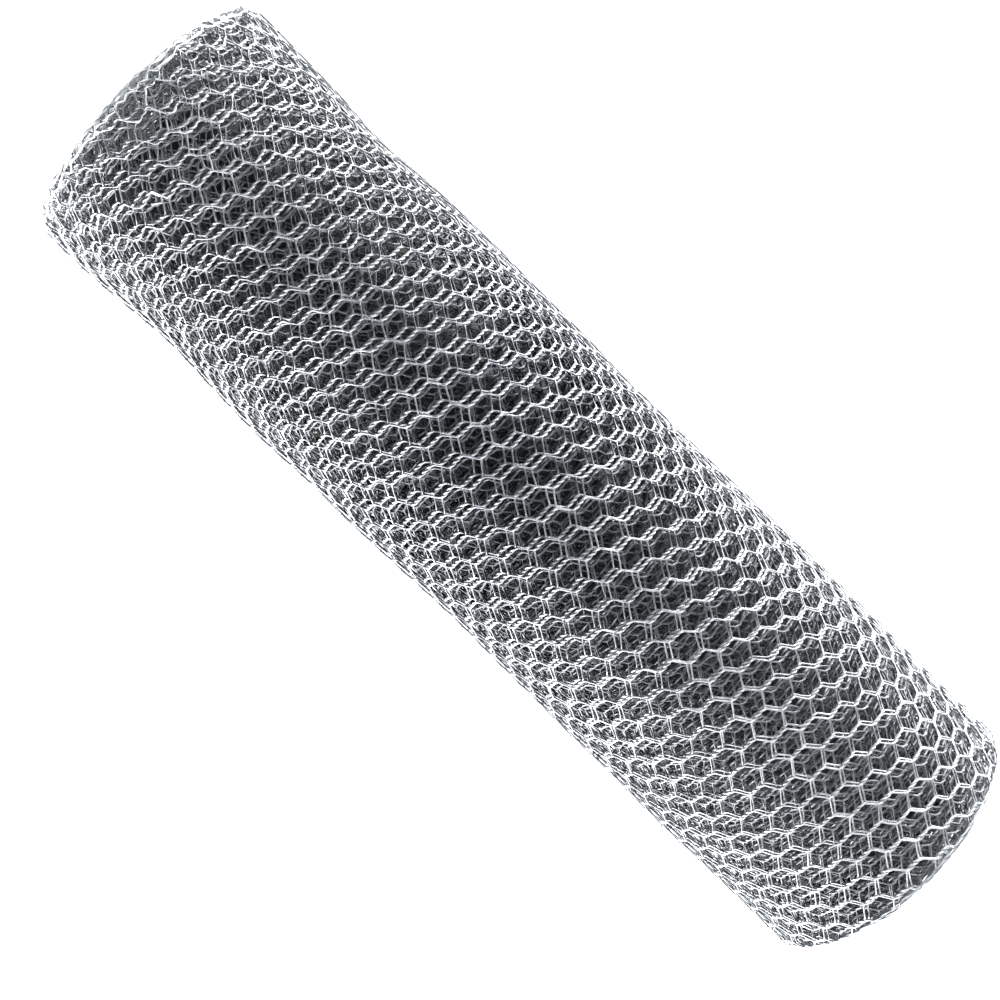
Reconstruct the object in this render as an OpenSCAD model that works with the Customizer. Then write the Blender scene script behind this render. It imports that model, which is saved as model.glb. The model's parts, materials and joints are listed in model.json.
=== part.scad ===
// Roll of galvanised hexagonal wire netting, lying on its side.
// The origin is on the floor, under the middle of the roll. +X runs along the roll's axis
// and +Z points up. All sizes are in millimetres.

/* [Netting] */
// Width of the netting, which is the length of the roll
netting_width = 500; // [300:50:1000]
// Length of netting wound on the roll
netting_length = 10000; // [6000:500:14000]

/* [Roll] */
// Outside diameter of the roll
roll_diameter = 146; // [130:1:180]
// Diameter of the open middle
bore_diameter = 40; // [25:1:60]

/* [Turns at the ends] */
// Gap between the selvages of neighbouring turns
selvage_gap = 0.4; // [0.25:0.05:0.5]
// Height to which the selvages stand clear of each other
selvage_height = 2; // [1:0.5:6]

/* [Hidden] */

roll_radius = roll_diameter / 2;
bore_radius = bore_diameter / 2;

// The area of the ring that the turns fill is the netting's length times the turns' pitch.
netting_pitch = PI * (pow(roll_radius, 2) - pow(bore_radius, 2)) / netting_length;
turn_count = round((roll_radius - bore_radius) / netting_pitch);
turn_pitch = (roll_radius - bore_radius) / turn_count;

round_fn = 180;

// Radius at which one turn ends and the next begins, counted from the middle.
function turn_radius(turn) = bore_radius + turn * turn_pitch;

// Section of the gap between two neighbouring selvages at one end of the roll.
module selvage_gap_section(radius, end) {
    translate([radius, end * netting_width / 2])
        square([selvage_gap, 2 * selvage_height], center = true);
}

// Half of the roll's section through its axis: X is the radius and Y runs along the axis.
module roll_section() {
    difference() {
        translate([bore_radius, -netting_width / 2])
            square([roll_radius - bore_radius, netting_width]);
        for (turn = [1 : turn_count - 1], end = [-1, 1])
            selvage_gap_section(turn_radius(turn), end);
    }
}

// The wound netting, with its turns parted at both ends.
module netting_roll() {
    color([0.62, 0.65, 0.68])
        translate([0, 0, roll_radius])
            rotate([0, 90, 0])
                rotate_extrude($fn = round_fn)
                    roll_section();
}

netting_roll();
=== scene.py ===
import bpy
import json
import math
import numpy as np
from mathutils import Matrix, Vector


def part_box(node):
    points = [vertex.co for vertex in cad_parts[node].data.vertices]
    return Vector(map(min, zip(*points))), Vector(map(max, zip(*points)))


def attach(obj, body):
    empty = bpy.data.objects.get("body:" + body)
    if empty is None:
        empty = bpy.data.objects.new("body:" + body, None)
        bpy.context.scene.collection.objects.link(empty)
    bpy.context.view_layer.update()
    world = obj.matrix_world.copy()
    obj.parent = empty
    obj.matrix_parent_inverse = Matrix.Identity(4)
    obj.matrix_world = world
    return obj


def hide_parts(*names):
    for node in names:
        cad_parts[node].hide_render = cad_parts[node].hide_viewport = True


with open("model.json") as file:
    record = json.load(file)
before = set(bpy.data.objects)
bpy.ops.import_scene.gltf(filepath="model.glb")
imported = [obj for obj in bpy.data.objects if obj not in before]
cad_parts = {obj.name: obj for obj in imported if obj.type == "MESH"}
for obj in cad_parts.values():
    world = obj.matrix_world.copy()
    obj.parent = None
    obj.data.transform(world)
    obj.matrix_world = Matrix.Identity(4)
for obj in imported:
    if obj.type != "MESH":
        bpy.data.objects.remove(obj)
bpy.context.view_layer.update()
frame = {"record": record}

# The roll lies along X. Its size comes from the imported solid, and its open middle from the record.
low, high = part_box("netting_roll")
rollLength = high.x - low.x
rollRadius = (high.z - low.z) / 2
rollMiddle = Vector(((low.x + high.x) / 2, (low.y + high.y) / 2, low.z + rollRadius))
boreMount = next(mount for mount in frame["record"]["mounts"] if mount["name"] == "bore")
boreRadius = boreMount["dims"]["r_mm"] / 1000

# The netting as it is woven, before it is wound
netting = {
    "meshWidths": 38.5,        # holes from selvage to selvage
    "twistShare": 0.68,        # length of a twist, in mesh widths
    "halfTurns": 3,            # in each twist
    "wire": 0.0007,            # thickness of the wire
    "ringShare": 0.6,          # radius of its three-sided section, in wire thicknesses
    "twistSwell": 1.36,        # how much thicker zinc makes it in the twists
    "twistReach": 1.1,         # from a twist's middle to its outside, in swollen wires
    "barSwell": 1.9,           # a plain bar that stands for a twist, in wire thicknesses
    "selvageGap": 0.0009,      # from the edge twists out to the selvage
    "turnCount": 34,
    "rowShare": 0.986,         # from row to row, in mesh widths
    "rowMatch": -0.15,         # how far the second turn's rows lie from the first's, in rows
    "firstRow": -0.10,         # how far the rows are moved round the roll, in rows
    "firstColumn": 0.285,      # how far the holes are moved in from the left selvage, in mesh widths
}

# How it is wound
winding = {
    "outerWidth": 0.981,       # the outer turn is pulled narrower than the others
    "outerPivot": 0.32,        # where it keeps its place, in roll lengths from the middle
    "outerFade": 0.3,          # over how much of a turn it widens to meet the next one
    "easeStart": -0.18,        # where the pull begins to be given back, in roll lengths
    "easeBend": 0.05,          # over what length
    "ease": 1.4,               # how much of it
    "fullness": 1.026,         # girth away from the dents, against the solid's
    "dents": [                 # place, depth and reach of each; a bulge has a depth below zero
        (-0.335, 0.040, 0.06),
        (0.045, 0.022, 0.11),
        (0.40, -0.014, 0.16),
    ],
    "bunching": 0.0029,        # how far the meshes are pushed from the middle towards the ends
    "roundness": 0.0006,       # how far its outline wanders
    "roundnessLength": 0.23,   # length of those waves
    "sway": 0.0005,            # how far the meshes wander
    "swayLength": 0.11,
    "swingLength": 0.08,       # the same for their wandering round the roll
    "swingTurn": 1.7,          # how far on its waves are from one turn to the next
    "wobble": 0.00038,         # how uneven each hole is
    "messyStart": 0.13333,     # the left end is less even from here on, in roll lengths
    "messyReach": 0.33333,     # over what length
    "messySway": 0.0011,
    "messyWobble": 0.0009,
    "tangle": 0.0006,          # how far single wires are bent there
    "tangleSwingRate": (2.3, 2.1),     # how much quicker its waves are, across and round
    "tangleRate": (2.1, 2.4),
    "ragged": 0.0016,          # how far the outer turn's left edge is pulled in and out
    "raggedReach": 0.03,
    "raggedRate": (0.5, 3.7),
    "slant": 0.25,             # how far the inner turns are twisted back at the right end, in rows
    "slantStart": 0.19167,     # where that begins, in roll lengths
    "slantReach": 0.08333,
    "drift": 0.0035,           # how far the inner turns slip sideways
    "driftTurn": 2,            # from which turn on
    "driftRate": 2.1,
    "driftPhase": 0.6,
    "innerWobble": 0.0011,     # how uneven the holes of the inner turns are
    "innerTurn": 1.8,
    "seed": 7,
}

meshWidth = rollLength / netting["meshWidths"]
wireReach = netting["wire"] * netting["twistSwell"] * netting["twistReach"]
outerRadius = rollRadius - wireReach
turnPitch = (rollRadius - boreRadius) / netting["turnCount"]
rowPitch = meshWidth * netting["rowShare"]
rowsRound = 2 * math.pi * (outerRadius - turnPitch) / rowPitch          # from one turn to the next
rowSlip = 2 * round(rowsRound / 2) + netting["rowMatch"] - rowsRound    # in rows, on every turn
twistHalf = meshWidth * netting["twistShare"] / 2
columnCount = int(netting["meshWidths"]) + 1
mergeReach = 0.00002
zincReach = 0.0001                     # how far past a twist its zinc goes
endColumns = 4                         # columns of meshes laid at an end before they are cut
rng = np.random.default_rng(winding["seed"])


def deselectAll():
    if bpy.context.object and bpy.context.object.mode != "OBJECT":
        bpy.ops.object.mode_set(mode="OBJECT")
    bpy.ops.object.select_all(action="DESELECT")


def makeActive(piece):
    deselectAll()
    piece.select_set(True)
    bpy.context.view_layer.objects.active = piece


def copyOf(piece, name):
    made = piece.copy()
    made.data = piece.data.copy()
    made.name = name
    made.data.name = name
    bpy.context.scene.collection.objects.link(made)
    return made


def dropPiece(piece):
    mesh = piece.data
    bpy.data.objects.remove(piece)
    bpy.data.meshes.remove(mesh)


def joinPieces(pieces, name):
    makeActive(pieces[0])
    for other in pieces[1:]:
        other.select_set(True)
    if len(pieces) > 1:
        bpy.ops.object.join()
    pieces[0].name = name
    pieces[0].data.name = name
    return pieces[0]


def startPiece(name):
    # An empty mesh in edit mode, left over from a ring that is deleted
    deselectAll()
    bpy.ops.mesh.primitive_circle_add(vertices=3, radius=0.001)
    piece = bpy.context.object
    piece.name = name
    piece.data.name = name
    bpy.ops.object.mode_set(mode="EDIT")
    bpy.ops.mesh.select_all(action="SELECT")
    bpy.ops.mesh.delete(type="VERT")
    return piece


def drawWire(corners, headings, thickness, sizes=None):
    # A three-sided ring is set at the first corner, and drawn out from corner to corner.
    bpy.ops.mesh.primitive_circle_add(
        vertices=3, radius=thickness * netting["ringShare"], location=corners[0],
        rotation=(math.pi / 2, 0, headings[0] + math.pi / 2))
    for i in range(1, len(corners)):
        step = [b - a for a, b in zip(corners[i - 1], corners[i])]
        bpy.ops.mesh.extrude_region_move(TRANSFORM_OT_translate={"value": step})
        turn = headings[i] - headings[i - 1]
        if abs(turn) > 1e-6:
            # With no window a positive angle turns clockwise.
            bpy.ops.transform.rotate(value=-turn, orient_axis="Z", center_override=corners[i])
        if sizes and sizes[i] != sizes[i - 1]:
            grow = sizes[i] / sizes[i - 1]
            bpy.ops.transform.resize(value=(grow, grow, grow), center_override=corners[i])


def finishCell(piece):
    bpy.ops.mesh.select_all(action="SELECT")
    bpy.ops.mesh.remove_doubles(threshold=mergeReach)
    bpy.ops.mesh.normals_make_consistent(inside=False)
    bpy.ops.object.mode_set(mode="OBJECT")


def addSecondCell():
    # The next row's twist stands half a mesh to the side.
    bpy.ops.mesh.select_all(action="SELECT")
    bpy.ops.mesh.duplicate_move(TRANSFORM_OT_translate={"value": (meshWidth / 2, rowPitch, 0)})


def markZinc(piece, fill=None):
    # How much zinc has gathered: all along a twist, and little on the single wires
    mesh = piece.data
    zinc = mesh.attributes.new("zincFill", "FLOAT", "POINT")
    for vertex, value in zip(mesh.vertices, zinc.data):
        along = vertex.co.y % rowPitch
        away = min(along, rowPitch - along)
        value.value = fill if fill is not None else float(away < twistHalf + zincReach)


def makeTwistedCell(name, steps):
    # Two wires come in along the diagonals, wind round each other and part again.
    piece = startPiece(name)
    wire = netting["wire"]
    swell = netting["twistSwell"]
    lay = wire * swell / 2
    slope = math.atan2(rowPitch / 2 - twistHalf, meshWidth / 4 - lay)
    corners = [(-meshWidth / 4, -rowPitch / 2, 0)]
    headings = [slope]
    sizes = [1.0]
    for i in range(steps + 1):
        angle = math.pi + netting["halfTurns"] * math.pi * i / steps
        corners.append((lay * math.cos(angle), twistHalf * (2 * i / steps - 1), lay * math.sin(angle)))
        headings.append(math.pi / 2 if 0 < i < steps else (slope + math.pi / 2) / 2)
        sizes.append(swell)
    corners.append((meshWidth / 4, rowPitch / 2, 0))
    headings.append(slope)
    sizes.append(1.0)
    drawWire(corners, headings, wire, sizes)
    bpy.ops.mesh.select_all(action="SELECT")
    bpy.ops.mesh.duplicate_move(TRANSFORM_OT_translate={"value": (0, 0, 0)})
    bpy.ops.transform.rotate(value=math.pi, orient_axis="Y", center_override=(0, 0, 0))
    addSecondCell()
    finishCell(piece)
    markZinc(piece)
    return piece


def makePlainCell(name):
    # For the turns deep in the roll: a thick bar for the twist, and a thin one for each diagonal
    piece = startPiece(name)
    wire = netting["wire"]
    top = rowPitch - twistHalf
    slope = math.atan2(top - twistHalf, meshWidth / 2)
    drawWire([(0, -twistHalf, 0), (0, twistHalf, 0)], [math.pi / 2] * 2, wire * netting["barSwell"])
    bpy.ops.mesh.select_all(action="DESELECT")
    drawWire([(0, twistHalf, 0), (meshWidth / 2, top, 0)], [slope] * 2, wire)
    bpy.ops.mesh.select_all(action="DESELECT")
    drawWire([(0, twistHalf, 0), (-meshWidth / 2, top, 0)], [math.pi - slope] * 2, wire)
    bpy.ops.mesh.select_all(action="SELECT")
    bpy.ops.mesh.fill_holes(sides=3)
    addSecondCell()
    bpy.ops.mesh.select_all(action="SELECT")
    bpy.ops.mesh.normals_make_consistent(inside=False)
    bpy.ops.object.mode_set(mode="OBJECT")
    markZinc(piece)
    return piece


selvageWires = {
    "thickness": 0.00085,
    "halfTurns": 4,            # in two rows
    "steps": 8,
    "bow": 0.00022,            # how far it is pulled in at each edge twist
    "layShare": 0.45,          # from the pair's middle to one wire's, in wire thicknesses
    "zinc": 0.7,
}


def makeSelvageLength(name):
    # Two wires wound round each other, two rows long
    piece = startPiece(name)
    lay = selvageWires["thickness"] * selvageWires["layShare"]
    steps = selvageWires["steps"]
    corners = []
    for i in range(steps + 1):
        angle = selvageWires["halfTurns"] * math.pi * i / steps
        bow = selvageWires["bow"] * math.cos(2 * math.pi * i / steps)
        along = (2 * i / steps - 1) * rowPitch
        corners.append((bow + lay * math.cos(angle), along, lay * math.sin(angle)))
    drawWire(corners, [math.pi / 2] * len(corners), selvageWires["thickness"])
    bpy.ops.mesh.select_all(action="DESELECT")
    others = []
    for i, (x, y, z) in enumerate(corners):
        bow = selvageWires["bow"] * math.cos(2 * math.pi * i / steps)
        others.append((2 * bow - x, y, -z))
    drawWire(others, [math.pi / 2] * len(others), selvageWires["thickness"])
    finishCell(piece)
    markZinc(piece, selvageWires["zinc"])
    return piece


def repeatPiece(piece, count, step):
    array = piece.modifiers.new("repeat", "ARRAY")
    array.count = count
    array.use_relative_offset = False
    array.use_constant_offset = True
    array.constant_offset_displace = step
    array.use_merge_vertices = True
    array.merge_threshold = mergeReach
    makeActive(piece)
    bpy.ops.object.modifier_apply(modifier=array.name)


def trimPiece(piece, place, keepRight):
    makeActive(piece)
    bpy.ops.object.mode_set(mode="EDIT")
    bpy.ops.mesh.select_all(action="SELECT")
    bpy.ops.mesh.bisect(plane_co=(place, 0, 0), plane_no=(1, 0, 0),
                        clear_inner=keepRight, clear_outer=not keepRight)
    bpy.ops.object.mode_set(mode="OBJECT")


def closeWires(piece):
    makeActive(piece)
    bpy.ops.object.mode_set(mode="EDIT")
    bpy.ops.mesh.select_all(action="SELECT")
    bpy.ops.mesh.fill_holes(sides=8)
    bpy.ops.object.mode_set(mode="OBJECT")


def repeatAt(turn):
    # Whole repeats of two rows from the netting's outer end to the start of a turn
    angle = 2 * math.pi * turn
    length = outerRadius * angle - turnPitch * angle ** 2 / (4 * math.pi)
    return round(length / (2 * rowPitch))


repeatStarts = [repeatAt(turn) for turn in range(netting["turnCount"] + 1)]

# The unevenness is a sum of waves. Each pair is the first wave's count and what the next ones add.
slowWaves = {
    "across": (1, 0.7),
    "slantAcross": (2.3, 1),
    "round": (2, 3),
    "slantShare": 0.6,
    "evenOut": 3.2,
}
quickWaves = {
    "across": (190, 83),
    "round": (7.3, 4.9),
    "backAcross": (-140, -97),
    "backRound": (11.7, 6.1),
    "evenOut": 4,
}
waveShapes = rng.uniform(0, 2 * math.pi, (14, 3))
waveRows = {                   # the first of the three rows that each kind of unevenness uses
    "sway": 0,
    "swing": 3,
    "tangleSwing": 4,
    "roundness": 5,
    "tangle": 6,
    "wobbleSwing": 8,
    "ragged": 9,
    "wobble": 11,
}


def countAt(pair, i):
    return pair[0] + pair[1] * i


def wavesOver(x, angle, kind, longest):
    # Slow unevenness from -1 to 1, much the same from one turn to the next
    row = waveRows[kind]
    total = 0
    lengths = 2 * math.pi * x / longest
    for i, (a, b, c) in enumerate(waveShapes[row:row + 3]):
        straight = np.sin(lengths * countAt(slowWaves["across"], i) + a)
        total = total + straight * np.cos(angle * countAt(slowWaves["round"], i) + b)
        slanted = np.sin(lengths * countAt(slowWaves["slantAcross"], i) + angle * (1 + i) + c)
        total = total + slowWaves["slantShare"] * slanted
    return total / slowWaves["evenOut"]


def wobblesOver(x, angle, kind, rate=(1, 1)):
    # Quick unevenness from -1 to 1, different on every turn
    row = waveRows[kind]
    x = x * rate[0]
    angle = angle * rate[1]
    total = 0
    for i, (a, b, c) in enumerate(waveShapes[row:row + 3]):
        across, around = countAt(quickWaves["across"], i), countAt(quickWaves["round"], i)
        total = total + np.sin(x * across + angle * around + a)
        across, around = countAt(quickWaves["backAcross"], i), countAt(quickWaves["backRound"], i)
        total = total + np.sin(x * across + angle * around + b)
    return total / quickWaves["evenOut"]


def girthAt(x):
    share = x / rollLength
    girth = winding["fullness"]
    for place, depth, reach in winding["dents"]:
        girth = girth - depth * np.exp(-((share - place) / reach) ** 2)
    return girth


def rampFrom(value, start, reach):
    # From 0 at start to 1 a reach further on
    return np.clip((value - start) / reach, 0, 1)


def pullOuterTurn(x, outermost):
    # The outer turn is narrower, and towards the left end the pull is given back.
    narrow = (1 - winding["outerWidth"]) * outermost
    bend = winding["easeBend"] * rollLength
    beyond = bend * np.log1p(np.exp((winding["easeStart"] * rollLength - x) / bend))
    return x - narrow * (x - winding["outerPivot"] * rollLength + winding["ease"] * beyond)


def windUp(piece, firstRepeat):
    # Every vertex goes from the flat netting to its place on the spiral. No modifier lets one
    # turn slip along the next, so the bend is worked out here.
    mesh = piece.data
    flat = np.empty(len(mesh.vertices) * 3)
    mesh.vertices.foreach_get("co", flat)
    across, along, rise = flat.reshape(-1, 3).T
    length = along + (firstRepeat * 2 + 0.5 + netting["firstRow"]) * rowPitch
    spread = turnPitch / (2 * math.pi)
    angle = (outerRadius - np.sqrt(np.maximum(outerRadius ** 2 - 2 * spread * length, 0))) / spread
    turn = angle / (2 * math.pi)
    outermost = np.clip((1 - turn) / winding["outerFade"], 0, 1)
    # The rows are spread under the roll, so that the holes of one turn meet those of the next.
    angle = angle - rowSlip * rowPitch / outerRadius * (turn + np.sin(angle) / (2 * math.pi))
    x = across - rollLength / 2
    x = x + winding["bunching"] * np.sin(2 * math.pi * x / rollLength)
    x = pullOuterTurn(x, outermost)

    # The left end is less even than the rest.
    messy = rampFrom(-x / rollLength, winding["messyStart"], winding["messyReach"])
    sway = winding["sway"] + (winding["messySway"] - winding["sway"]) * messy
    wobble = winding["wobble"] + (winding["messyWobble"] - winding["wobble"]) * messy
    tangle = winding["tangle"] * messy
    inside = np.clip(1 - np.abs(x) / (rollLength / 2), 0, 1) ** 0.5
    wobble = wobble + winding["innerWobble"] * rampFrom(turn, winding["innerTurn"], 1) * inside
    swing = sway * wavesOver(x, angle + turn * winding["swingTurn"], "swing", winding["swingLength"])
    swing = swing + wobble * wobblesOver(x, angle, "wobbleSwing")
    swing = swing + tangle * wobblesOver(x, angle, "tangleSwing", winding["tangleSwingRate"])
    slanted = rampFrom(x / rollLength, winding["slantStart"], winding["slantReach"]) * (1 - outermost)
    swing = swing - winding["slant"] * rowPitch * slanted
    slip = winding["drift"] * np.sin(turn * winding["driftRate"] + winding["driftPhase"])
    slip = slip * rampFrom(turn, winding["driftTurn"], 1) * inside
    swayed = sway * wavesOver(x, angle, "sway", winding["swayLength"])
    x = x + swayed + wobble * wobblesOver(x, angle, "wobble") + slip
    x = x + tangle * wobblesOver(x, angle, "tangle", winding["tangleRate"])
    fromEdge = x + rollLength / 2 - (1 - winding["outerWidth"]) * outermost * rollLength
    edge = np.clip(1 - fromEdge / winding["raggedReach"], 0, 1) * outermost
    x = x + winding["ragged"] * edge * wobblesOver(x, angle, "ragged", winding["raggedRate"])

    radius = outerRadius - turnPitch * turn
    wander = winding["roundness"] * wavesOver(x, angle, "roundness", winding["roundnessLength"])
    wander = wander * (radius / outerRadius)
    girth = girthAt(x)
    # A thinner stretch has fewer rows in sight, and not smaller ones.
    angle = angle + (1 / girth - 1) * np.sin(angle - math.pi) + swing / outerRadius
    radius = radius * girth + wander + rise
    place = np.stack([rollMiddle.x + x,
                      rollMiddle.y + radius * np.sin(angle),
                      rollMiddle.z - radius * np.cos(angle)], 1)
    place[:, 2] = np.maximum(place[:, 2], low.z)
    mesh.vertices.foreach_set("co", place.astype(np.float32).ravel())
    mesh.update()


def smoothPiece(piece):
    makeActive(piece)
    bpy.ops.object.mode_set(mode="EDIT")
    bpy.ops.mesh.select_all(action="SELECT")
    bpy.ops.mesh.normals_make_consistent(inside=False)
    bpy.ops.object.mode_set(mode="OBJECT")
    bpy.ops.object.shade_smooth()


def countTriangles(piece):
    return sum(len(face.vertices) - 2 for face in piece.data.polygons)


def makeTurns(turns, cell):
    # A strip of netting, cut at both selvages and wound up
    firstRepeat, lastRepeat = repeatStarts[turns["first"] - 1], repeatStarts[turns["last"]]
    strip = copyOf(cell, turns["name"])
    strip.data.transform(Matrix.Translation(((netting["firstColumn"] - 1) * meshWidth, 0, 0)))
    repeatPiece(strip, columnCount + 1, (meshWidth, 0, 0))
    trimPiece(strip, -netting["selvageGap"], True)
    trimPiece(strip, rollLength + netting["selvageGap"], False)
    repeatPiece(strip, lastRepeat - firstRepeat, (0, 2 * rowPitch, 0))
    closeWires(strip)
    windUp(strip, firstRepeat)
    smoothPiece(strip)
    print(turns["name"], "wound,", countTriangles(strip), "triangles")
    return strip


# The two turns that are seen best have every twist wound in full
outerTurn = {"name": "outer_turn", "first": 1, "last": 1}
secondTurn = {"name": "second_turn", "first": 2, "last": 2}
fineCell = makeTwistedCell("fineCell", 8)
wireTurns = [makeTurns(outerTurn, fineCell), makeTurns(secondTurn, fineCell)]

# The next two have coarser twists
thirdTurn = {"name": "third_turn", "first": 3, "last": 3}
fourthTurn = {"name": "fourth_turn", "first": 4, "last": 4}
roughCell = makeTwistedCell("roughCell", 4)
wireTurns += [makeTurns(thirdTurn, roughCell), makeTurns(fourthTurn, roughCell)]

# Deeper turns, and the two round the open middle, are of plain bars
deepTurns = {"name": "turns_5_to_8", "first": 5, "last": 8}
deeperTurns = {"name": "turns_9_to_12", "first": 9, "last": 12}
boreTurns = {"name": "bore_turns", "first": 33, "last": 34}
plainCell = makePlainCell("plainCell")
wireTurns += [makeTurns(values, plainCell) for values in (deepTurns, deeperTurns, boreTurns)]

leftEnd = {
    "name": "left_end",
    "side": -1,
    "meshDepth": 1.3,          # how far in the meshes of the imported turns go, in mesh widths
    "firstTurn": 13,
    "lastTurn": 32,
}
rightEnd = {"name": "right_end", "side": 1, "meshDepth": 1.3, "firstTurn": 13, "lastTurn": 32}
selvageLength = makeSelvageLength("selvageLength")


def makeEnd(end):
    # The selvage of every turn at one end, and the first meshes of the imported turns
    edge = -netting["selvageGap"] if end["side"] < 0 else rollLength + netting["selvageGap"]
    selvage = copyOf(selvageLength, end["name"])
    repeatPiece(selvage, repeatStarts[-1], (0, 2 * rowPitch, 0))
    closeWires(selvage)
    selvage.data.transform(Matrix.Translation((edge, 0, 0)))
    windUp(selvage, 0)
    first, last = repeatStarts[end["firstTurn"] - 1], repeatStarts[end["lastTurn"]]
    strip = copyOf(plainCell, end["name"] + "_meshes")
    firstColumn = netting["firstColumn"] + (columnCount - endColumns if end["side"] > 0 else -1)
    strip.data.transform(Matrix.Translation((firstColumn * meshWidth, 0, 0)))
    repeatPiece(strip, endColumns, (meshWidth, 0, 0))
    trimPiece(strip, edge, end["side"] < 0)
    inner = edge - end["side"] * (end["meshDepth"] * meshWidth + netting["selvageGap"])
    trimPiece(strip, inner, end["side"] > 0)
    repeatPiece(strip, last - first, (0, 2 * rowPitch, 0))
    closeWires(strip)
    windUp(strip, first)
    made = joinPieces([selvage, strip], end["name"])
    smoothPiece(made)
    print(end["name"], "made,", countTriangles(made), "triangles")
    return made


endPieces = [makeEnd(leftEnd), makeEnd(rightEnd)]

packedTurns = {
    "name": "inner_turns",
    "outerTurn": 12.4,         # the turn that it starts under
    "innerGap": 2.4,           # turns left clear of it round the open middle
    "shortfall": 2.4,          # how much shorter than the roll, in mesh widths
    "sides": 96,
}


def makePackedTurns():
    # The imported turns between, as one tube: an open cylinder that Solidify thickens inwards
    thinnest = 1 - max(depth for place, depth, reach in winding["dents"])
    outer = (outerRadius - packedTurns["outerTurn"] * turnPitch) * thinnest
    inner = boreRadius + packedTurns["innerGap"] * turnPitch
    length = rollLength - packedTurns["shortfall"] * meshWidth
    deselectAll()
    bpy.ops.mesh.primitive_cylinder_add(
        vertices=packedTurns["sides"], radius=outer, depth=length,
        location=rollMiddle, rotation=(0, math.pi / 2, 0), end_fill_type="NOTHING")
    piece = bpy.context.object
    piece.name = packedTurns["name"]
    piece.data.name = packedTurns["name"]
    bpy.ops.object.transform_apply(location=True, rotation=True, scale=True)
    wall = piece.modifiers.new("wall", "SOLIDIFY")
    wall.thickness = outer - inner
    wall.offset = -1
    wall.use_even_offset = True
    bpy.ops.object.modifier_apply(modifier=wall.name)
    print(packedTurns["name"], "made,", countTriangles(piece), "triangles")
    return piece


innerTurns = makePackedTurns()

for cell in (fineCell, roughCell, plainCell, selvageLength):
    dropPiece(cell)


# Finishes
zincLook = {
    "patchDetail": 5,
    "patchRoughness": 0.65,
    "runScale": 1400,
    "runDetail": 2,
    "clouds": (0.34, 0.80),    # the patches' levels that are wholly dull and wholly bright
    "filledFrom": 0.5,         # how much of a twist's zinc a point needs before it looks gathered
    "roughness": (0.62, 0.38),         # dull and bright
    "reliefStrength": 0.3,
    "reliefDepth": 0.00005,
}


def newGroup(name, inputs, outputs):
    group = bpy.data.node_groups.new(name, "ShaderNodeTree")
    for label, kind, value in inputs:
        group.interface.new_socket(label, in_out="INPUT", socket_type=kind).default_value = value
    for label, kind in outputs:
        group.interface.new_socket(label, in_out="OUTPUT", socket_type=kind)
    return group


def addNode(tree, kind, **values):
    node = tree.nodes.new(kind)
    for key, value in values.items():
        setattr(node, key, value)
    return node


def addRange(tree, source, fromMin, fromMax, toMin=0.0, toMax=1.0):
    node = tree.nodes.new("ShaderNodeMapRange")
    node.inputs["From Min"].default_value = fromMin
    node.inputs["From Max"].default_value = fromMax
    node.inputs["To Min"].default_value = toMin
    node.inputs["To Max"].default_value = toMax
    tree.links.new(source, node.inputs["Value"])
    return node.outputs["Result"]


def makeZincGroup():
    # Cloudy zinc: duller patches, fine runs, and a brighter coat where it has gathered
    group = newGroup("zincCoat",
                     [("Bright", "NodeSocketColor", (0.6, 0.6, 0.6, 1)),
                      ("Dull", "NodeSocketColor", (0.3, 0.3, 0.3, 1)),
                      ("Patch Size", "NodeSocketFloat", 60.0),
                      ("Runs", "NodeSocketFloat", 0.3),
                      ("Gathered", "NodeSocketFloat", 0.25)],
                     [("Colour", "NodeSocketColor"), ("Roughness", "NodeSocketFloat"),
                      ("Height", "NodeSocketFloat")])
    links = group.links
    take = group.nodes.new("NodeGroupInput")
    give = group.nodes.new("NodeGroupOutput")
    place = group.nodes.new("ShaderNodeTexCoord")
    patches = addNode(group, "ShaderNodeTexNoise")
    patches.inputs["Detail"].default_value = zincLook["patchDetail"]
    patches.inputs["Roughness"].default_value = zincLook["patchRoughness"]
    links.new(place.outputs["Object"], patches.inputs["Vector"])
    links.new(take.outputs["Patch Size"], patches.inputs["Scale"])
    fine = addNode(group, "ShaderNodeTexNoise")
    fine.inputs["Scale"].default_value = zincLook["runScale"]
    fine.inputs["Detail"].default_value = zincLook["runDetail"]
    links.new(place.outputs["Object"], fine.inputs["Vector"])
    clouds = addRange(group, patches.outputs["Fac"], *zincLook["clouds"])
    runs = addNode(group, "ShaderNodeMath", operation="MULTIPLY")
    links.new(fine.outputs["Fac"], runs.inputs[0])
    links.new(take.outputs["Runs"], runs.inputs[1])
    worn = addNode(group, "ShaderNodeMath", operation="SUBTRACT")
    links.new(clouds, worn.inputs[0])
    links.new(runs.outputs["Value"], worn.inputs[1])
    zinc = addNode(group, "ShaderNodeAttribute", attribute_name="zincFill")
    filled = addRange(group, zinc.outputs["Fac"], zincLook["filledFrom"], 1)
    gathered = addNode(group, "ShaderNodeMath", operation="MULTIPLY_ADD")
    gathered.use_clamp = True
    links.new(filled, gathered.inputs[0])
    links.new(take.outputs["Gathered"], gathered.inputs[1])
    links.new(worn.outputs["Value"], gathered.inputs[2])
    colour = addNode(group, "ShaderNodeMix", data_type="RGBA")
    links.new(gathered.outputs["Value"], colour.inputs["Factor"])
    links.new(take.outputs["Dull"], colour.inputs["A"])
    links.new(take.outputs["Bright"], colour.inputs["B"])
    links.new(colour.outputs["Result"], give.inputs["Colour"])
    roughness = addRange(group, gathered.outputs["Value"], 0, 1, *zincLook["roughness"])
    links.new(roughness, give.inputs["Roughness"])
    links.new(fine.outputs["Fac"], give.inputs["Height"])
    return group


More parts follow.
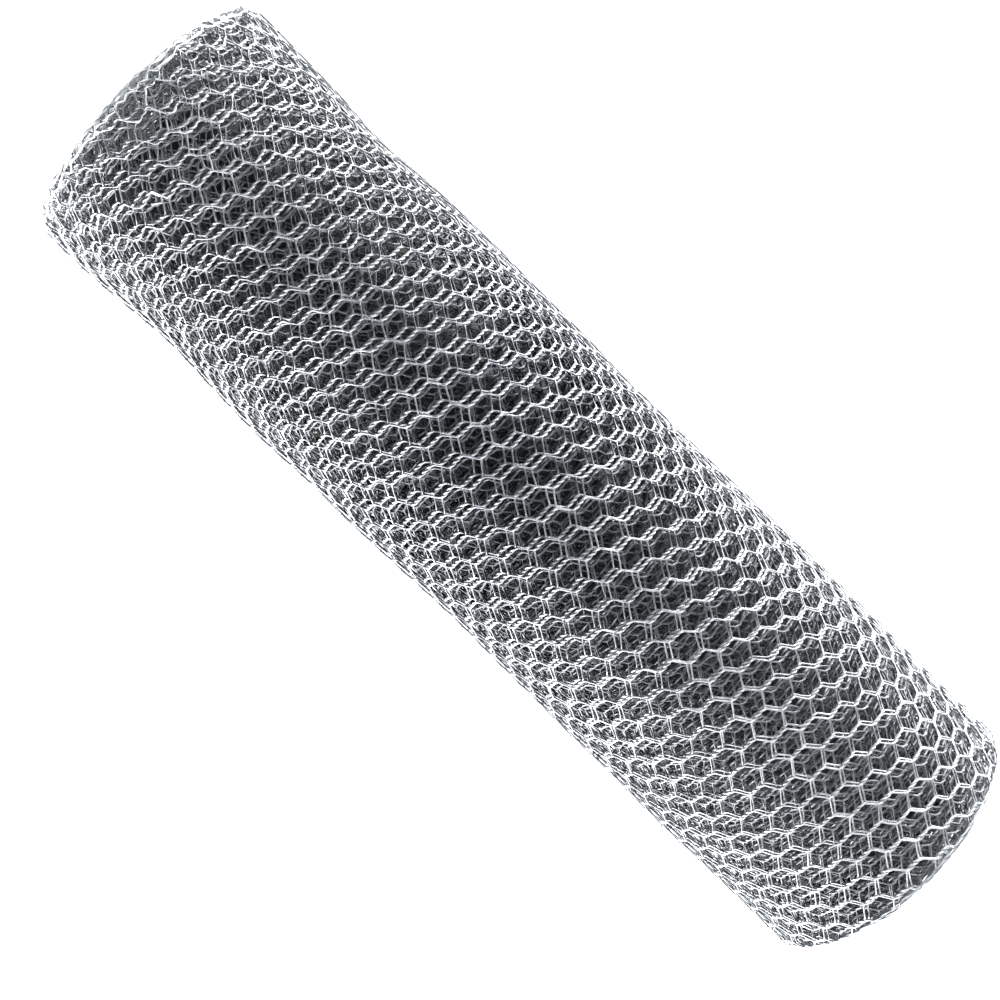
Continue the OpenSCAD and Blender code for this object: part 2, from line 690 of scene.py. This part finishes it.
def makeDepthGroup():
    # How deep in the roll a point is, from 0 outside and at the open ends to 1, and how near each end:
    # the masks for painted shade on the deep turns and painted light near the open ends
    group = newGroup("paintedShadeAndLightMasks",
                     [("Start", "NodeSocketFloat", 0.07), ("End", "NodeSocketFloat", 0.06),
                      ("Left Reach", "NodeSocketFloat", 0.1), ("Right Reach", "NodeSocketFloat", 0.02),
                      ("Pale Left", "NodeSocketFloat", 0.1), ("Pale Right", "NodeSocketFloat", 0.1)],
                     [("Depth", "NodeSocketFloat"), ("Near Left", "NodeSocketFloat"),
                      ("Near Right", "NodeSocketFloat")])
    links = group.links
    take = group.nodes.new("NodeGroupInput")
    give = group.nodes.new("NodeGroupOutput")
    place = group.nodes.new("ShaderNodeTexCoord")
    centred = addNode(group, "ShaderNodeVectorMath", operation="SUBTRACT")
    centred.inputs[1].default_value = rollMiddle
    links.new(place.outputs["Object"], centred.inputs[0])
    flatten = addNode(group, "ShaderNodeVectorMath", operation="MULTIPLY")
    flatten.inputs[1].default_value = (0, 1, 1)
    links.new(centred.outputs["Vector"], flatten.inputs[0])
    radius = addNode(group, "ShaderNodeVectorMath", operation="LENGTH")
    links.new(flatten.outputs["Vector"], radius.inputs[0])
    inward = addNode(group, "ShaderNodeMapRange")
    links.new(radius.outputs["Value"], inward.inputs["Value"])
    links.new(take.outputs["Start"], inward.inputs["From Min"])
    links.new(take.outputs["End"], inward.inputs["From Max"])
    axis = addNode(group, "ShaderNodeSeparateXYZ")
    links.new(centred.outputs["Vector"], axis.inputs["Vector"])
    depth = inward.outputs["Result"]
    for side, sign in (("Left", 1), ("Right", -1)):
        fromEnd = addNode(group, "ShaderNodeMath", operation="MULTIPLY_ADD")
        fromEnd.inputs[1].default_value = sign
        fromEnd.inputs[2].default_value = rollLength / 2
        links.new(axis.outputs["X"], fromEnd.inputs[0])
        share = addNode(group, "ShaderNodeMath", operation="DIVIDE", use_clamp=True)
        links.new(fromEnd.outputs["Value"], share.inputs[0])
        links.new(take.outputs[side + " Reach"], share.inputs[1])
        both = addNode(group, "ShaderNodeMath", operation="MULTIPLY")
        links.new(depth, both.inputs[0])
        links.new(share.outputs["Value"], both.inputs[1])
        depth = both.outputs["Value"]
        near = addNode(group, "ShaderNodeMapRange")
        near.inputs["From Min"].default_value = 0
        near.inputs["To Min"].default_value = 1
        near.inputs["To Max"].default_value = 0
        links.new(fromEnd.outputs["Value"], near.inputs["Value"])
        links.new(take.outputs["Pale " + side], near.inputs["From Max"])
        links.new(near.outputs["Result"], give.inputs["Near " + side])
    links.new(depth, give.inputs["Depth"])
    return group


zincCoat = makeZincGroup()
paintedShadeAndLightMasks = makeDepthGroup()


def addGroup(tree, group, values):
    node = tree.nodes.new("ShaderNodeGroup")
    node.node_tree = group
    for label, value in values.items():
        node.inputs[label].default_value = value
    return node


def makeFinish(finish):
    material = bpy.data.materials.new(finish["name"])
    material.use_nodes = True
    tree = material.node_tree
    shader = tree.nodes["Principled BSDF"]
    shader.inputs["Metallic"].default_value = finish["metallic"]
    zinc = addGroup(tree, zincCoat, finish["zinc"])
    deep = addGroup(tree, paintedShadeAndLightMasks, finish["depth"])
    # Painted shade: the colour is multiplied by the finish's shade colour the deeper the point lies in
    # the roll
    paintedShadeMix = addNode(tree, "ShaderNodeMix", data_type="RGBA", blend_type="MULTIPLY")
    paintedShadeMix.inputs["B"].default_value = finish["shade"]
    tree.links.new(deep.outputs["Depth"], paintedShadeMix.inputs["Factor"])
    tree.links.new(zinc.outputs["Colour"], paintedShadeMix.inputs["A"])
    colour = paintedShadeMix.outputs["Result"]
    # Painted light: near each open end the colour is mixed towards the finish's pale colour
    for side in ("Left", "Right"):
        amount = addNode(tree, "ShaderNodeMath", operation="MULTIPLY")
        amount.inputs[1].default_value = finish["pale" + side]
        tree.links.new(deep.outputs["Near " + side], amount.inputs[0])
        paintedEndLightMix = addNode(tree, "ShaderNodeMix", data_type="RGBA")
        paintedEndLightMix.inputs["B"].default_value = finish["pale"]
        tree.links.new(amount.outputs["Value"], paintedEndLightMix.inputs["Factor"])
        tree.links.new(colour, paintedEndLightMix.inputs["A"])
        colour = paintedEndLightMix.outputs["Result"]
    tree.links.new(colour, shader.inputs["Base Color"])
    tree.links.new(zinc.outputs["Roughness"], shader.inputs["Roughness"])
    relief = addNode(tree, "ShaderNodeBump")
    relief.inputs["Strength"].default_value = zincLook["reliefStrength"]
    relief.inputs["Distance"].default_value = zincLook["reliefDepth"]
    tree.links.new(zinc.outputs["Height"], relief.inputs["Height"])
    tree.links.new(relief.outputs["Normal"], shader.inputs["Normal"])
    return material


wireFinish = {
    "name": "galvanisedWire",
    "metallic": 0.4,
    "zinc": {
        "Bright": (0.50, 0.518, 0.543, 1),
        "Dull": (0.10, 0.107, 0.121, 1),
        "Gathered": 0.9,
        "Runs": 0.6,
    },
    "depth": {
        "Start": rollRadius - 2.3 * turnPitch,
        "End": rollRadius - 3.6 * turnPitch,
        "Left Reach": 0.06,
        "Right Reach": 0.02,
        "Pale Left": 0.13,
        "Pale Right": 0.28,
    },
    "shade": (0.3, 0.31, 0.34, 1),     # painted shade: what the deep wires' colour is multiplied by
    "pale": (0.68, 0.71, 0.72, 1),     # painted light: what is mixed in near the ends
    "paleLeft": 0.16,
    "paleRight": 0.26,
}
# The inner turns: zinc painted far darker than the outer turns' and darker still deeper in, as painted
# shade, with painted light mixed in near the ends
innerFinish = {
    "name": "innerWire",
    "metallic": 0.2,
    "zinc": {
        "Bright": (0.17, 0.181, 0.205, 1),
        "Dull": (0.045, 0.05, 0.06, 1),
        "Gathered": 0.4,
        "Runs": 0.6,
        "Patch Size": 150.0,
    },
    "depth": {
        "Start": rollRadius - turnPitch,
        "End": rollRadius - 7 * turnPitch,
        "Left Reach": 0.03,
        "Right Reach": 0.002,
        "Pale Left": 0.22,
        "Pale Right": 0.28,
    },
    "shade": (0.08, 0.084, 0.10, 1),
    "pale": (0.60, 0.63, 0.64, 1),
    "paleLeft": 0.22,
    "paleRight": 0.20,
}
# The selvages and end meshes: painted shade on the deep turns, and strong painted light mixed in near
# the left end
endFinish = {
    "name": "selvageWire",
    "metallic": 0.3,
    "zinc": {
        "Bright": (0.50, 0.52, 0.55, 1),
        "Dull": (0.28, 0.295, 0.32, 1),
        "Gathered": 0.5,
        "Runs": 0.5,
    },
    "depth": {
        "Start": rollRadius - 2.3 * turnPitch,
        "End": rollRadius - 4.0 * turnPitch,
        "Left Reach": 0.030,
        "Right Reach": 0.004,
        "Pale Left": 0.05,
        "Pale Right": 0.002,
    },
    "shade": (0.13, 0.14, 0.16, 1),
    "pale": (0.74, 0.77, 0.78, 1),
    "paleLeft": 0.8,
    "paleRight": 0.0,
}
# The tube standing for the packed turns is painted nearly black, as painted shade, and a little darker
# inward
packedFinish = {
    "name": "packedTurns",
    "metallic": 0.2,
    "zinc": {
        "Bright": (0.07, 0.076, 0.09, 1),
        "Dull": (0.012, 0.013, 0.017, 1),
        "Patch Size": 260.0,
        "Gathered": 0.0,
    },
    "depth": {"Start": rollRadius, "End": boreRadius, "Left Reach": 0.05, "Right Reach": 0.05},
    "shade": (0.7, 0.7, 0.72, 1),
    "pale": (0.3, 0.3, 0.32, 1),
    "paleLeft": 0.0,
    "paleRight": 0.0,
}


def dressPiece(piece, material):
    piece.data.materials.clear()
    piece.data.materials.append(material)
    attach(piece, "root")
    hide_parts("netting_roll")


wireMaterial = makeFinish(wireFinish)
innerMaterial = makeFinish(innerFinish)
endMaterial = makeFinish(endFinish)
for piece in wireTurns[:2]:
    dressPiece(piece, wireMaterial)
for piece in wireTurns[2:]:
    dressPiece(piece, innerMaterial)
for piece in endPieces:
    dressPiece(piece, endMaterial)
dressPiece(innerTurns, makeFinish(packedFinish))
allPieces = [*wireTurns, *endPieces, innerTurns]
print("in all", sum(countTriangles(piece) for piece in allPieces), "triangles")

# Floor, light and camera
studio = {
    "floorSize": 40.0,         # in roll lengths
    "floorColour": (0.9, 0.9, 0.9, 1),
    "farPower": 68,
    "nearPower": 80,
    "endPower": 10,
    "lampSize": 1.1,           # in roll lengths
    "farPlace": (-0.3, 2.2, 0.26),     # from the roll's middle, in roll lengths
    "nearPlace": (0.5, -2.2, 0.26),
    "endPlace": (1.6, 0.1, 1.5),
    "skyColour": (0.93, 0.96, 1.0, 1),
    "skyStrength": 0.16,
    "cameraDepth": 1.4336,     # from the camera to the roll's middle, in roll lengths
    "cameraRight": 0.02604,    # how far the middle is right of the view's centre
    "cameraUp": 0.01224,
    "tilt": 4.173,             # how far the roll's left end is tipped towards the camera, in degrees
    "turn": 44.078,            # how far the roll is turned in the view, in degrees
    "lens": 52.47,
}


def makeFloor():
    deselectAll()
    size = studio["floorSize"] * rollLength
    bpy.ops.mesh.primitive_plane_add(size=size, location=(rollMiddle.x, rollMiddle.y, low.z))
    floor = bpy.context.object
    floor.name = "floor"
    material = bpy.data.materials.new("paleFloor")
    material.use_nodes = True
    shader = material.node_tree.nodes["Principled BSDF"]
    shader.inputs["Base Color"].default_value = studio["floorColour"]
    shader.inputs["Roughness"].default_value = 0.7
    floor.data.materials.append(material)


def addLamp(name, place, power):
    data = bpy.data.lights.new(name, "AREA")
    data.shape = "DISK"
    data.size = studio["lampSize"] * rollLength
    data.energy = power
    lamp = bpy.data.objects.new(name, data)
    bpy.context.scene.collection.objects.link(lamp)
    lamp.location = rollMiddle + place * rollLength
    lamp.rotation_euler = (rollMiddle - lamp.location).to_track_quat("-Z", "Y").to_euler()


def makeCamera():
    data = bpy.data.cameras.new("camera")
    data.lens = studio["lens"]
    data.sensor_width = 36
    camera = bpy.data.objects.new("camera", data)
    bpy.context.scene.collection.objects.link(camera)
    tip = Matrix.Rotation(math.radians(-studio["tilt"]), 4, "Y")
    aim = tip @ Matrix.Rotation(math.radians(studio["turn"]), 4, "Z")
    seen = Vector((studio["cameraRight"], studio["cameraUp"], -studio["cameraDepth"])) * rollLength
    camera.matrix_world = Matrix.Translation(rollMiddle - aim.to_3x3() @ seen) @ aim
    bpy.context.scene.camera = camera


def makeSky():
    world = bpy.data.worlds.new("studio")
    bpy.context.scene.world = world
    world.use_nodes = True
    sky = world.node_tree.nodes["Background"]
    sky.inputs["Color"].default_value = studio["skyColour"]
    sky.inputs["Strength"].default_value = studio["skyStrength"]


makeFloor()
addLamp("farSoftbox", Vector(studio["farPlace"]), studio["farPower"])
addLamp("nearSoftbox", Vector(studio["nearPlace"]), studio["nearPower"])
addLamp("endSoftbox", Vector(studio["endPlace"]), studio["endPower"])
makeCamera()
makeSky()
bpy.context.scene.view_settings.view_transform = "Standard"
print("floor, light and camera set")
